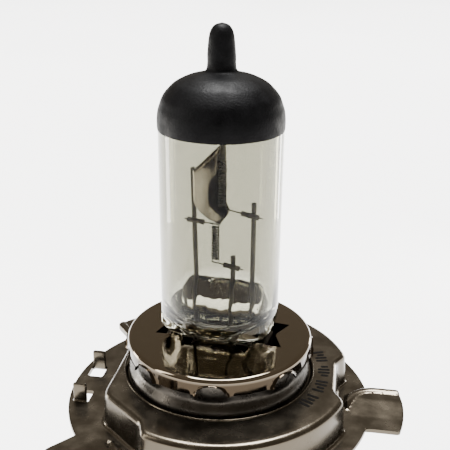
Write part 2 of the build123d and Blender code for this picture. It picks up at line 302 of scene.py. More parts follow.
def mottle(tree, scale, low, high, stretch=(1, 1, 1), detail=4, contrast=(0.35, 0.65)):
    """A noise between two values: numbers give a grey ramp, triples give colours."""
    place = tree.nodes.new("ShaderNodeTexCoord")
    mapping = tree.nodes.new("ShaderNodeMapping")
    mapping.inputs["Scale"].default_value = stretch
    cloud = tree.nodes.new("ShaderNodeTexNoise")
    cloud.inputs["Scale"].default_value = scale
    cloud.inputs["Detail"].default_value = detail
    ramp = tree.nodes.new("ShaderNodeValToRGB")
    for stop, value, position in zip(ramp.color_ramp.elements, (low, high), contrast):
        stop.position = position
        stop.color = (*value, 1) if isinstance(value, tuple) else (value, value, value, 1)
    tree.links.new(place.outputs["Object"], mapping.inputs["Vector"])
    tree.links.new(mapping.outputs["Vector"], cloud.inputs["Vector"])
    tree.links.new(cloud.outputs["Fac"], ramp.inputs["Fac"])
    return ramp.outputs["Color"]


def by_height(tree, low, high, low_colour, high_colour):
    """A colour that changes with height between two levels given in millimetres."""
    place = tree.nodes.new("ShaderNodeTexCoord")
    split = tree.nodes.new("ShaderNodeSeparateXYZ")
    level = tree.nodes.new("ShaderNodeMapRange")
    level.inputs["From Min"].default_value = low * METRE
    level.inputs["From Max"].default_value = high * METRE
    ramp = tree.nodes.new("ShaderNodeValToRGB")
    ramp.color_ramp.elements[0].color = (*low_colour, 1)
    ramp.color_ramp.elements[1].color = (*high_colour, 1)
    tree.links.new(place.outputs["Object"], split.inputs["Vector"])
    tree.links.new(split.outputs["Z"], level.inputs["Value"])
    tree.links.new(level.outputs["Result"], ramp.inputs["Fac"])
    return ramp.outputs["Color"]


def roughen(tree, shader, height, depth):
    """Drive the shader's surface with a height, depth in millimetres."""
    bump = tree.nodes.new("ShaderNodeBump")
    bump.inputs["Distance"].default_value = depth * METRE
    tree.links.new(height, bump.inputs["Height"])
    tree.links.new(bump.outputs["Normal"], shader.inputs["Normal"])


def metal(name, dark, light, gloss, grain, grain_depth, stretch=(1, 1, 1), blotch=260, levels=None):
    """A metal in two tones, with a gloss that varies and a fine grain. The tones are blotches, or
    they change from dark to light between two levels."""
    material, tree, shader = new_material(name)
    shader.inputs["Metallic"].default_value = 1
    if levels:
        tones = by_height(tree, *levels, dark, light)
    else:
        tones = mottle(tree, blotch, dark, light, stretch)
    tree.links.new(tones, shader.inputs["Base Color"])
    tree.links.new(mottle(tree, blotch * 3, *gloss, detail=6), shader.inputs["Roughness"])
    roughen(tree, shader, mottle(tree, grain, 0.0, 1.0, stretch, contrast=(0.3, 0.7)), grain_depth)
    return material


def painted(name, dark, light, blotch, gloss, gloss_scale, grain, grain_depth, shine=0.5):
    """A paint or a plastic in two close tones, with the same unevenness as a metal."""
    material, tree, shader = new_material(name)
    tree.links.new(mottle(tree, blotch, dark, light), shader.inputs["Base Color"])
    tree.links.new(mottle(tree, gloss_scale, *gloss), shader.inputs["Roughness"])
    shader.inputs["Specular IOR Level"].default_value = shine
    roughen(tree, shader, mottle(tree, grain, 0.0, 1.0), grain_depth)
    return material


print("materials so far:", len(bpy.data.materials))

# %% [markdown]
# ## Light and floor
# Polished nickel shows its surroundings more than its own colour. Here it should look dark and
# warm with bright edges, so the world is a dim warm grey, and a few large soft lights stand where
# the rounded edges can pick them up. The pale floor is lit by the same lights.

# %% Set up the studio
floor_height = cad_box[0].z
floor_half = 4.0
floor_mesh = bpy.data.meshes.new("floor")
floor_signs = ((-1, -1), (1, -1), (1, 1), (-1, 1))
floor_corners = [(x * floor_half, y * floor_half, floor_height) for x, y in floor_signs]
floor_mesh.from_pydata(floor_corners, [], [(0, 1, 2, 3)])
floor = bpy.data.objects.new("floor", floor_mesh)
bpy.context.scene.collection.objects.link(floor)
floor_paint, floor_tree, floor_shader = new_material("pale_floor")
floor_shader.inputs["Roughness"].default_value = 0.9
floor_shader.inputs["Specular IOR Level"].default_value = 0.1
floor_tree.links.new(
    mottle(floor_tree, 3, (0.86, 0.86, 0.86), (0.9, 0.9, 0.9)), floor_shader.inputs["Base Color"]
)
floor_mesh.materials.append(floor_paint)

world = bpy.data.worlds.new("dim_studio")
world.use_nodes = True
world.node_tree.nodes["Background"].inputs["Color"].default_value = (0.42, 0.36, 0.28, 1)
world.node_tree.nodes["Background"].inputs["Strength"].default_value = 1.0
bpy.context.scene.world = world


def soft_light(name, place, size, power, color=(1, 1, 1)):
    """A large area light that looks at the bulb. Place and size are in metres."""
    lamp = bpy.data.lights.new(name, "AREA")
    lamp.shape = "RECTANGLE"
    lamp.size, lamp.size_y = size
    lamp.energy = power
    lamp.color = color
    light = bpy.data.objects.new(name, lamp)
    light.location = place
    light.rotation_euler = (-Vector(place)).to_track_quat("-Z", "Y").to_euler()
    light.visible_camera = False
    bpy.context.scene.collection.objects.link(light)


soft_light("overhead_light", (0.0, 0.55, 2.2), (1.2, 1.2), 340)
soft_light("left_light", (-0.6, -0.3, 0.3), (0.12, 0.7), 4, (1.0, 0.97, 0.92))
soft_light("left_low_light", (-0.15, 0.028, 0.0), (0.03, 0.07), 0.16, (1.0, 0.97, 0.9))
soft_light("right_low_light", (0.09, 0.125, 0.0), (0.02, 0.07), 0.08, (1.0, 0.97, 0.9))
print("floor at", round(floor_height / METRE, 2), "mm, with 4 soft lights")

# %% [markdown]
# ## Finishes
# The metal parts are nickel over steel, and the cap is the glossiest. The posts and clamps are
# molybdenum, which goes grey-brown in the heat of sealing. Two finishes are choices of look. The
# cap is one metal, but its skirt mirrors the pale floor and would look too light, so its colour
# is darker there. Quartz has no colour, but the tube should look greyer than the floor behind it,
# so its outer skin has a tint, and its mirror reflection is held back to show the filaments.

# %% Make the finishes
# Two tones, then the range of the gloss, the grain's scale and its depth.
cap_metal = metal(
    "bright_cap_nickel", (0.03, 0.0225, 0.015), (0.15, 0.125, 0.094), (0.05, 0.11), 900, 0.002,
    levels=(9.5, 10.1),
)
flange_metal = metal(
    "satin_flange_nickel", (0.066, 0.056, 0.042), (0.078, 0.067, 0.051), (0.2, 0.28), 2600, 0.003,
    blotch=120,
)
sleeve_metal = metal(
    "dark_sleeve_steel", (0.03, 0.027, 0.023), (0.05, 0.045, 0.039), (0.24, 0.36), 3000, 0.012
)
wire_metal = metal(
    "heated_molybdenum", (0.1, 0.09, 0.075), (0.2, 0.182, 0.155), (0.42, 0.58), 6000, 0.006,
    stretch=(1, 1, 0.1), blotch=700,
)
coil_metal = metal(
    "tungsten_wire", (0.07, 0.066, 0.06), (0.13, 0.123, 0.112), (0.22, 0.36), 9000, 0.003, blotch=900
)
shield_metal = metal(
    "polished_shield", (0.1, 0.086, 0.075), (0.55, 0.5, 0.45), (0.06, 0.15), 1200, 0.01,
    stretch=(1, 1, 0.12), blotch=700,
)
blade_metal = metal(
    "tinned_blades", (0.4, 0.37, 0.29), (0.5, 0.465, 0.38), (0.25, 0.38), 2600, 0.01,
    stretch=(1, 1, 0.05),
)
black_coat = painted(
    "black_coating", (0.0008, 0.0008, 0.001), (0.002, 0.002, 0.0023), 500, (0.42, 0.58), 700, 3500, 0.012,
    shine=0.045,
)
moulding = painted(
    "moulded_insulator", (0.028, 0.024, 0.02), (0.05, 0.043, 0.036), 300, (0.45, 0.62), 900, 2800, 0.02
)
foot_levels = (12.5, 17.0)
quartz_index, held_back_mirror = 1.46, 0.12


def quartz_finish(name, colour_low, colour_high):
    """Clear quartz with a tint of painted shade that may differ between its foot and its body."""
    material, tree, shader = new_material(name)
    tint = by_height(tree, *foot_levels, colour_low, colour_high)
    tree.links.new(tint, shader.inputs["Base Color"])
    shader.inputs["Transmission Weight"].default_value = 1
    shader.inputs["IOR"].default_value = quartz_index
    shader.inputs["Specular Tint"].default_value = (*[held_back_mirror] * 3, 1)
    tree.links.new(mottle(tree, 220, 0.0, 0.01), shader.inputs["Roughness"])
    roughen(tree, shader, mottle(tree, 200, 0.0, 1.0, (1, 1, 0.25), 1), 0.006)
    return material


# The outer skin's tint is painted shade, as quartz has no colour: light at the foot, dark over the body.
tube_quartz = quartz_finish("clear_quartz", (0.66, 0.66, 0.57), (0.14, 0.137, 0.1))
cavity_quartz = quartz_finish("cavity_quartz", (0.98, 0.98, 0.97), (0.98, 0.98, 0.97))
bridge_quartz = quartz_finish("bridge_quartz", (0.97, 0.95, 0.9), (0.97, 0.95, 0.9))

print("finishes:", len(bpy.data.materials))

# %% [markdown]
# ## Quartz tube
# The tube is blown quartz: a wall of about a millimetre, a domed top drawn out to a tip, and a flat
# pinch at the foot that seals the wires. A Solidify modifier would give it a wall, but the foot
# changes from a circle to a flat bar only on the outside. So the outside and the cavity are two
# skins in one mesh, and the cavity's skin faces inwards and has its own clear finish. The foot has
# faint ripples where the quartz was squeezed while soft.

# %% Blow the tube and squeeze its foot
tube_radius = 8.0
wall = 1.1
foot_top, foot_bottom, foot_corner = 15.6, 11.8, 4.2
pinch_half = (6.7, 1.6)
pinch_end = 2.0
dome_start = 40.3
outer_dome = [(7.93, 41.4), (7.65, 42.25), (7.16, 43.4), (6.12, 44.58), (5.3, 45.18)]
outer_dome += [(4.0, 45.77), (2.3, 46.2)]
outer_tip = [(1.66, 46.9), (1.64, 48.6), (1.5, 50.0), (1.16, 51.25), (0.6, 51.98), (0, 52.18)]
inner_dome = [(6.85, 41.4), (6.5, 42.4), (5.7, 43.6), (4.5, 44.5), (2.6, 45.1), (0, 45.3)]
dome_line = smooth_line([(8, dome_start), *outer_dome], 3)[1:]
cavity_floor, ripple_reach = 12.9, 4.5
ring_count = 160


def squashed_ring(half_row, half_depth, power, height, ripple=0.0):
    """A ring between a circle (power 2) and a flat bar (a high power), across the burner."""
    ring = []
    for t in turns(ring_count):
        along = half_row * signed_power(cos(t), 2 / power)
        across = half_depth * signed_power(sin(t), 2 / power)
        wave = 1 + ripple * noise.noise((cos(t) * 4, sin(t) * 4, height * 1.3))
        ring.append(in_burner(along * wave, across * wave, height))
    return ring


foot_rings = []
foot_steps = 10
for step in range(1, foot_steps + 1):
    bend = radians(90 * step / foot_steps)
    blend = step / foot_steps
    foot_rings.append(
        squashed_ring(
            tube_radius - (tube_radius - pinch_half[0]) * blend**3,
            foot_corner + (tube_radius - foot_corner) * cos(bend),
            2 + 2.5 * blend**2,
            foot_top - (foot_top - foot_bottom) * sin(bend),
            0.014 * blend,
        )
    )
pinch_levels = ((3.0, 11.55, 5), (2.1, 11.1, 6), (1.7, 10.4, 7), (1.6, 9.4, 8), (1.6, 2.3, 8))
for half_depth, height, power in pinch_levels:
    foot_rings.append(squashed_ring(pinch_half[0], half_depth, power, height, 0.012))
foot_rings.append(squashed_ring(pinch_half[0] - 0.3, pinch_half[1] - 0.3, 8, pinch_end))
foot_rings.append([(0, 0, pinch_end)])
side_heights = (foot_top, 20, 25, 30, 35, dome_start)
side_rings = [circle_ring(tube_radius, z, ring_count) for z in side_heights]
top_rings = [circle_ring(p.x, p.y, ring_count) for p in dome_line]
top_rings += [circle_ring(max(p.x, 0), p.y, ring_count) for p in smooth_line(outer_tip, 3)]
outside = join_rings(foot_rings[::-1] + side_rings + top_rings)

cavity_profile = [(0, cavity_floor), (2.0, cavity_floor), (3.4, 12.92)]
cavity_profile += arc(foot_corner, foot_top, tube_radius - wall - foot_corner, -90, 0, 8)
cavity_profile += [(tube_radius - wall, z) for z in (20, 30, dome_start)]
cavity_profile += [(p.x, p.y) for p in smooth_line([(6.9, dome_start), *inner_dome], 3)[1:]]
cavity_points, cavity_faces = flip(lathe(cavity_profile, count=ring_count))


def ripple_foot(point):
    """Push a point of the cavity's floor in and out a little."""
    x, y, z = point
    reach = max(0.0, 1 - (z - cavity_floor) / ripple_reach)
    wave = noise.noise((x * 0.45, y * 0.45, z * 0.45)) * 0.35 * reach
    return (x * (1 + wave * 0.06), y * (1 + wave * 0.06), z + wave * 0.35)


cavity = ([ripple_foot(p) for p in cavity_points], cavity_faces)
quartz_tube = add_piece("quartz_tube", merge_skins(outside, cavity), tube_quartz, "quartz_envelope")
quartz_tube.data.materials.append(cavity_quartz)
for face in quartz_tube.data.polygons[len(outside[1]):]:
    face.material_index = 1
print("tube has", len(quartz_tube.data.vertices), "points")

# %% [markdown]
# ## Black top
# The dome and the tip are dipped in a heat-proof black coating, so that no light goes forward. It
# is a closed skin a tenth of a millimetre thick that lies just clear of the glass, with an edge
# that is not quite level.

# %% Coat the dome and the tip
coat_edge = 39.35
coat_corners = [(8.09, 39.6), (8.09, 40.6), (7.98, 41.6), (7.75, 42.35), (7.28, 43.5), (6.25, 44.68)]
coat_corners += [(5.4, 45.28), (4.1, 45.87), (2.75, 46.22), (2.0, 46.55), (1.78, 47.2), (1.76, 48.6)]
coat_corners += [(1.63, 50.1), (1.42, 51.2), (0.88, 51.98), (0, 52.28)]
coat_profile = smooth_line(coat_corners, 4)


def dipped_ring(radius, height, lean):
    """A ring of the coating; lean pushes it about as the tip was drawn by hand."""
    if radius < 0.02:
        return [(0.04 * lean, 0, height)]
    ring = []
    for t in turns(ring_count):
        wave = 1 + lean * 0.03 * noise.noise((cos(t) * 1.4, sin(t) * 1.4, height * 0.9))
        near_edge = height < coat_edge + 0.3
        edge = 0.03 * noise.noise((cos(t) * 3, sin(t) * 3, 4.0)) if near_edge else 0
        ring.append((radius * wave * cos(t), radius * wave * sin(t), height + edge))
    return ring


coat_outside = [dipped_ring(8.05, coat_edge, 0)]
coat_outside += [dipped_ring(p.x, p.y, max(0.0, min(1.0, p.y - 46))) for p in coat_profile]
coat_inside = [circle_ring(8.03, height, ring_count) for height in (coat_edge, dome_start)]
coat_inside += [circle_ring(p.x + 0.025, p.y + 0.015, ring_count) for p in dome_line]
coat_inside += [circle_ring(1.2, 47.0, ring_count), [(0, 0, 47.2)]]
coat_rings = coat_inside[::-1] + coat_outside
add_piece("black_top", join_rings(coat_rings), black_coat, "black_top_coating")
print("coating starts at", coat_edge, "mm")

# %% [markdown]
# ## Quartz bridge
# A short quartz bar is melted around the three posts and keeps them apart. Its ends are rounded by
# the flame and its skin is uneven, which is what makes it sparkle. Rings along the row carry a
# noise that is stronger towards the ends.

# %% Melt the bridge
bridge_radius, bridge_height = 2.6, 15.9
bridge_ends = (-5.1, 6.0)
bridge_sides = 72
bridge_rings = [[in_burner(bridge_ends[0], 0, bridge_height)]]
bridge_steps = 64
for step in range(bridge_steps + 1):
    share = step / bridge_steps
    row = bridge_ends[0] + (bridge_ends[1] - bridge_ends[0]) * share
    from_end = min(row - bridge_ends[0], bridge_ends[1] - row)
    round_off = min(1.0, from_end / 1.5 + 0.02)
    radius = bridge_radius * (0.45 + 0.55 * sqrt(1 - (1 - round_off) ** 2))
    rough = 0.05 + 0.2 * exp(-from_end / 0.9)
    ring = []
    for t in turns(bridge_sides):
        lump = 1 + rough * noise.noise((row * 1.1, cos(t) * 1.6, sin(t) * 1.6)) - 0.03
        ring.append(in_burner(row, -cos(t) * radius * lump, bridge_height + sin(t) * radius * lump))
    bridge_rings.append(ring)
bridge_rings.append([in_burner(bridge_ends[1], 0, bridge_height)])
bridge_skin = flip(join_rings(bridge_rings))
add_piece("melted_bridge", bridge_skin, bridge_quartz, "quartz_bridge")
print("bridge is", round(bridge_ends[1] - bridge_ends[0], 1), "mm long")

# %% [markdown]
# ## Posts
# Three molybdenum wires stand in the bridge. They are cut with pliers, so their tops are a little
# flattened. The common post leans to meet the shield's keel.

# %% Cut the posts
post_radius = 0.33
post_foot = 8.4


def cut_end(t):
    """A wire's width near its cut ends."""
    return 1 if t < 0.97 else 1.1 - (t - 0.97) * 6


common_line = [(common_row, post_foot), (common_row, 17.5), (common_row, 19.0)]
common_line += [(-3.45, 20.2), (-3.62, 26), (-3.84, 33.9)]
post_lines = {
    "common_post": [in_burner(row, 0, height) for row, height in common_line],
    "main_post": [in_burner(main_row, 0, height) for height in (post_foot, 15, 21.4, 22.0)],
    "dipped_post": [in_burner(dipped_row, 0, height) for height in (post_foot, 18, 28.8, 29.6)],
}
for node, line in post_lines.items():
    skin = tube(smooth_line(line, 8), post_radius, 20, cut_end)
    add_piece(node.replace("post", "post_wire"), skin, wire_metal, node)
print("posts:", ", ".join(post_lines))

# %% [markdown]
# ## Clamps
# Each leg of a filament is held in a short tube that is crimped flat in two places and welded to
# its post. The tube's radius dips where the pliers closed on it.

# %% Crimp the clamps
clamp_radius, clamp_depth, crimp_dip = 0.36, -0.6, 0.14
clamp_ends = {
    "common_clamp": (in_burner(-4.42, clamp_depth, 26.92), in_burner(-2.05, clamp_depth, 26.72)),
    "main_clamp": (in_burner(0.62, clamp_depth, 20.95), in_burner(2.86, clamp_depth, 20.6)),
    "dipped_clamp": (in_burner(2.95, clamp_depth, 28.5), in_burner(5.25, clamp_depth, 28.12)),
}


def crimped(t):
    """A tube's width along it, with two crimps."""
    return 1 - crimp_dip * exp(-(((t - 0.27) / 0.07) ** 2)) - crimp_dip * exp(-(((t - 0.73) / 0.07) ** 2))


def along(start, end, share):
    """The point at a share of the way from start to end."""
    return start + (end - start) * share


for node, (start, end) in clamp_ends.items():
    line = [along(start, end, step / 24) for step in range(25)]
    add_piece(node + "_tube", tube(line, clamp_radius, 20, crimped), wire_metal, node)
print("clamps:", ", ".join(clamp_ends))

# %% [markdown]
# ## Filaments
# Each filament is one tungsten wire wound on a mandrel, with straight legs. A helix of points gives
# the coil, and the legs are more points of the same line, so the tube has no joint.

# %% Wind the filaments
coil_radius, coil_wire, coil_pitch = 0.46, 0.095, 0.37
dipped_low, dipped_high = 28.9, 34.5


def coil_line(row, low, high, steps=18):
    """Points of a coil that stands on the row."""
    count = int((high - low) / coil_pitch * steps)
    line = []
    for step in range(count + 1):
        angle = 2 * pi * step / steps
        height = low + (high - low) * step / count
        line.append(in_burner(row + coil_radius * cos(angle), coil_radius * sin(angle), height))
    return line


def beyond(start, end, distance):
    """A point on the line of a clamp, past its end."""
    return end + (end - start).normalized() * distance


common_left, common_right = clamp_ends["common_clamp"]
main_left, main_right = clamp_ends["main_clamp"]
dipped_left, dipped_right = clamp_ends["dipped_clamp"]
main_wire = [
    beyond(main_left, main_right, 0.5),
    beyond(main_right, main_left, 0.25),
    in_burner(-0.2, clamp_depth * 0.7, 21.0),
    in_burner(-0.8, clamp_depth * 0.4, 20.92),
    in_burner(-1.12, clamp_depth * 0.2, 21.05),
    in_burner(-1.0, 0.2, 21.22),
    *coil_line(-0.68, 21.3, 26.3),
    in_burner(-0.9, -0.3, 26.55),
    beyond(common_left, common_right, 0.35),
    beyond(common_right, common_left, 0.45),
]
dipped_wire = [
    beyond(dipped_left, dipped_right, 0.5),
    beyond(dipped_right, dipped_left, 0.3),
    in_burner(0.85, clamp_depth * 0.5, 28.75),
    *coil_line(0.24, dipped_low, dipped_high),
    in_burner(0.24, 0.1, 34.9),
    in_burner(0.24, 0, 36.9),
]
add_piece("main_coil", tube(main_wire, coil_wire, 10), coil_metal, "main_beam_filament")
add_piece("dipped_coil", tube(dipped_wire, coil_wire, 10), coil_metal, "dipped_beam_filament")
print("turns in the dipped coil:", round((dipped_high - dipped_low) / coil_pitch))

# %% [markdown]
# ## Shield
# A thin polished boat stands behind the upper coil and stops its light going down. It is deepest
# at the keel. Its head slants up to the rim in a straight line and its foot is rounded, with a
# small nose. The skin is a grid: each level is a U that starts at the far rim, goes round the keel
# and ends at the near rim. A Solidify modifier gives the sheet its thickness.

# %% Press the shield
keel_row, rim_row = -3.5, 0.3
near_rim_row, cut_rim_row = -0.15, -1.2
keel_low, keel_high, rim_low, rim_high = 30.2, 33.8, 26.9, 37.6
half_width, keel_round = 1.75, 0.95
nose_height, nose_reach = 27.9, 0.55
shield_sheet = 0.16


def keel_at(height):
    """Row of the boat's bottom at a height: a straight keel, a slanted head and a rounded foot."""
    if height < keel_low:
        drop = (keel_low - height) / (keel_low - rim_low)
        return rim_row + (keel_row - rim_row) * (1 - drop**1.7) ** (1 / 1.7)
    if height > keel_high:
        return rim_row + (keel_row - rim_row) * (rim_high - height) / (rim_high - keel_high)
    return keel_row


def near_rim_at(height):
    """Row where the near wall ends: cut back beside the coil, whole at the head and at the foot."""
    cut = 1 / (1 + exp(-(height - 29.3) / 0.25)) - 1 / (1 + exp(-(height - 33.2) / 0.3))
    return near_rim_row + (cut_rim_row - near_rim_row) * cut


def shield_level(height):
    """The U of the boat at one height, from the far rim round the keel to the near rim."""
    bottom = keel_at(height)
    nose = nose_reach * exp(-(((height - nose_height) / 0.75) ** 2))
    depth = rim_row - bottom
    width = half_width * (0.72 + 0.28 * min(1, depth / 3.2))
    corner = min(keel_round, depth * 0.8 + 0.05)
    points = [(rim_row + nose - (depth + nose - corner) * i / 7, width) for i in range(7)]
    for i in range(9):
        bend = radians(90 * i / 8)
        points.append((bottom + corner * (1 - sin(bend)), width - corner * (1 - cos(bend))))
    points += [(bottom, (width - corner) * (1 - 2 * i / 8)) for i in range(1, 8)]
    for i in range(9):
        bend = radians(90 * i / 8)
        points.append((bottom + corner * (1 - cos(bend)), -(width - corner * (1 - sin(bend)))))
    near_end = max(bottom + corner, near_rim_at(height)) + nose * 1.3
    points += [(bottom + corner + (near_end - bottom - corner) * i / 6, -width) for i in range(1, 7)]
    return [in_burner(row, across, height) for row, across in points]


shield_heights = [rim_low + (rim_high - rim_low) * i / 60 for i in range(61)]
shield_points, shield_faces = [], []
for height in shield_heights:
    level = shield_level(height)
    shield_points.extend(level)
across_count = len(shield_points) // len(shield_heights)
for i in range(len(shield_heights) - 1):
    for j in range(across_count - 1):
        a = i * across_count + j
        shield_faces.append((a, a + 1, a + across_count + 1, a + across_count))
shield_skin = (shield_points, shield_faces)
shield = add_piece("boat_shield", shield_skin, shield_metal, "dipped_beam_shield", sharp=50)
sheet_maker = shield.modifiers.new("sheet", "SOLIDIFY")
sheet_maker.thickness = shield_sheet * METRE
sheet_maker.offset = -1
crimp_line = [in_burner(0.24, 0, 35.2 + 2.2 * i / 24) for i in range(25)]
add_piece("shield_crimp_tube", tube(crimp_line, 0.42, 20, crimped), wire_metal, "shield_clamp")
print("shield is", round(rim_high - rim_low, 1), "mm tall")

# %% [markdown]
# ## Burner cap
# The cap is pressed from thin bright sheet. Its disc has a star-shaped opening for the pinch, and
# its skirt is cut into eight low arches whose lips flare out. All rings of the cap share one list
# of directions, which holds the star's corners exactly, so its notches stay sharp.

# %% Draw the star and choose the directions
cap_top, cap_sheet, cap_radius, skirt_bottom = 10.35, 0.35, 12.8, 8.1
rim_round = 0.62
scallop_count, scallop_turn = 8, radians(5)
arch_half, arch_height, lip_flare = 1.95, 1.45, 0.42
star = [(7.9, 1.3), (9.15, 4.2), (7.2, 4.3), (5.0, 3.4), (3.4, 5.4), (1.6, 3.0), (-2.4, 3.1), (-4.0, 5.0)]
star += [(-5.2, 3.3), (-7.2, 3.6), (-7.7, 0.0), (-8.4, -3.1), (-6.6, -3.1), (-4.4, -3.3), (-3.3, -5.3)]
star += [(-1.9, -3.15), (3.1, -3.3), (4.8, -4.95), (5.2, -3.2), (6.4, -2.3), (9.2, -2.2), (7.9, 0.6)]
tongues = [(-5.6, -3.1), (5.9, -2.7), (4.2, 4.0), (-6.0, 3.4)]


def star_radius(direction):
    """Where a ray from the middle meets the edge of the star."""
    ray = (cos(direction), sin(direction))
    best = 0.0
    for (ax, ay), (bx, by) in zip(star, star[1:] + star[:1]):
        ex, ey = bx - ax, by - ay
        across = ray[0] * ey - ray[1] * ex
        if abs(across) < 1e-9:
            continue
        reach = (ax * ey - ay * ex) / across
        share = (ax * ray[1] - ay * ray[0]) / across
        if reach > 0 and -1e-6 <= share <= 1 + 1e-6:
            best = max(best, reach)
    return best


cap_directions = set(round(t, 5) for t in turns(480))
cap_directions |= set(round((atan2(y, x) + burner_turn) % (2 * pi), 5) for x, y in star)
cap_directions = sorted(cap_directions)
print("directions in a ring of the cap:", len(cap_directions))

# %% [markdown]
# ## Arches and tongues
# The cap's rings need three rules: how far a direction is from the middle of its arch, how the
# skirt is cut there, and how the small tongues between the star's points were bent up by hand.

# %% Shape the arches and the tongues
def arch_offset(direction):
    """Angle from the middle of the nearest arch."""
    step = 2 * pi / scallop_count
    return (direction - scallop_turn + step / 2) % step - step / 2


def arch_shape(direction):
    """How high the skirt is cut, from 0 to 1, and how much its lip flares there."""
    distance = abs(arch_offset(direction)) * cap_radius
    high = max(0.0, 1 - (distance / arch_half) ** 2) ** 0.5
    lip = exp(-(((distance - arch_half) / 0.42) ** 2)) + 0.55 * (distance < arch_half)
    return high, min(1.0, lip)


def cap_ring(place):
    """A ring of the cap: place gives a radius and a height for each direction."""
    ring = []
    for direction in cap_directions:
        radius, height = place(direction)
        ring.append((radius * cos(direction), radius * sin(direction), height))
    return ring


def crumple(direction, radius):
    """How far the sheet is bent up at a point of the disc."""
    x, y = radius * cos(direction), radius * sin(direction)
    row = x * cos(burner_turn) + y * sin(burner_turn)
    depth = y * cos(burner_turn) - x * sin(burner_turn)
    near = max(exp(-((row - a) ** 2 + (depth - b) ** 2) / 1.1) for a, b in tongues)
    dent = noise.noise((x * 1.5, y * 1.5, 5.0)) * 0.5 + noise.noise((x * 3, y * 3, 1.0)) * 0.25
    return near * (0.45 + dent) + 0.004 * noise.noise((x * 0.4, y * 0.4, 2.0))


print("the skirt is cut", arch_height, "mm high in", scallop_count, "arches")

# %% [markdown]
# ## The cap's rings
# The rings run over the disc, round the rim and down the skirt, and back inside at the thickness of
# the sheet, so that the cap is one closed skin.

# %% Press the cap
def disc_place(share, drop=0.0):
    """A ring of the disc between the star (0) and the start of the rim (1)."""

    def place(direction):
        inner = star_radius(direction - burner_turn)
        outer = cap_radius - rim_round
        radius = inner + (outer - inner) * share
        return radius, cap_top - drop + crumple(direction, radius)

    return place


def skirt_place(share, inset=0.0):
    """A ring of the skirt between the rim (0) and the scalloped edge (1)."""

    def place(direction):
        high, lip = arch_shape(direction)
        top = cap_top - rim_round
        edge = skirt_bottom + arch_height * high
        flare = lip_flare * lip * max(0.0, (share - 0.45) / 0.55) ** 2
        return cap_radius - inset + flare, top + (edge - top) * share

    return place


def rim_place(bend, inset=0.0):
    """A ring of the rounded rim between the disc and the skirt."""

    def place(direction):
        radius = cap_radius - rim_round + (rim_round - inset) * sin(bend)
        return radius, cap_top - rim_round + (rim_round - inset) * cos(bend)

    return place


shares = [0, 0.02, 0.08, 0.16, 0.26, 0.38, 0.5, 0.62, 0.74, 0.86, 0.95]
rim_bends = [radians(90 * i / 8) for i in range(9)]
skirt_shares = [i / 10 for i in range(1, 11)]
cap_places = [disc_place(share) for share in shares]
cap_places += [rim_place(bend) for bend in rim_bends]
cap_places += [skirt_place(share) for share in skirt_shares]
cap_places += [skirt_place(share, cap_sheet) for share in skirt_shares[::-1]]
cap_places += [rim_place(bend, cap_sheet) for bend in rim_bends[::-1]]
cap_places += [disc_place(share, cap_sheet) for share in shares[::-1]]
cap_skin = flip(join_rings([cap_ring(place) for place in cap_places], close=True))
add_piece("pressed_cap", cap_skin, cap_metal, "burner_cap", sharp=50)
print("rings in the cap:", len(cap_places))

# %% [markdown]
# ## Sleeve
# The sleeve under the cap slides in the flange while the bulb is focused, and is then welded. It
# swells out a little into each arch of the cap and widens to a foot above the plateau. One closed
# profile is turned, and each ring's radius gets the swellings and the foot.

# %% Turn the sleeve
sleeve_radius, sleeve_bottom, sleeve_sheet = 12.0, -6.0, 0.4
swell_height, swell_depth, foot_height, foot_flare = 8.5, 0.42, 6.0, 0.8


def sleeve_ring(radius, height, count=360):
    """A ring of the sleeve with its swellings under the arches."""
    ring = []
    for direction in turns(count):
        along_arch = arch_offset(direction) * sleeve_radius / 2.0
        upright = (height - swell_height) / 1.45
        swell = swell_depth * exp(-(along_arch**4) - upright**4)
        flare = foot_flare / (1 + exp((height - foot_height) / 0.3)) * (height > 4.5)
        size = radius + swell + flare
        ring.append((size * cos(direction), size * sin(direction), height))
    return ring


sleeve_heights = [sleeve_bottom, 0, 4, 4.45, *[4.55 + 0.25 * i for i in range(22)]]
sleeve_rings = [sleeve_ring(sleeve_radius, z) for z in sleeve_heights]
sleeve_rings += [sleeve_ring(sleeve_radius - sleeve_sheet, z) for z in sleeve_heights[::-1]]
add_piece("focus_sleeve", join_rings(sleeve_rings, close=True), sleeve_metal, "burner_sleeve")
print("sleeve is", sleeve_heights[-1] - sleeve_bottom, "mm tall")

# %% [markdown]
# ## Locating flange
# The flange is one pressing: a plateau on a wall that locates in the lamp, a plate round its foot,
# and three lugs of which the first sets the bulb's rotation. The wall is cut back to a flat at each
# lug and along one chord. Both outlines are written as a radius for each direction, with a smooth
# minimum where two lines meet, as a press tool has no sharp corners.

# %% Outline the wall and the plate
sheet, plateau_top, wall_radius, plate_radius = 0.6, 4.9, 19.0, 21.5
chord_flat, lug_flat, lug_reach, lug_half = 14.4, 16.8, 26.2, 4.8
lug_turns = (0.0, radians(130), radians(230))
flat_halves = ((4.3, 4.3), (4.3, 9.0), (9.0, 4.3))


def soft_min(a, b, round_off):
    """The smaller of two values, rounded where they meet."""
    share = max(round_off - abs(a - b), 0) / round_off
    return min(a, b) - share * share * round_off / 4


def soft_max(a, b, round_off):
    return -soft_min(-a, -b, round_off)


def lug_offset(direction, lug_turn):
    """Direction measured from the middle of a lug, between -pi and pi."""
    return (direction - lug_turn + pi) % (2 * pi) - pi


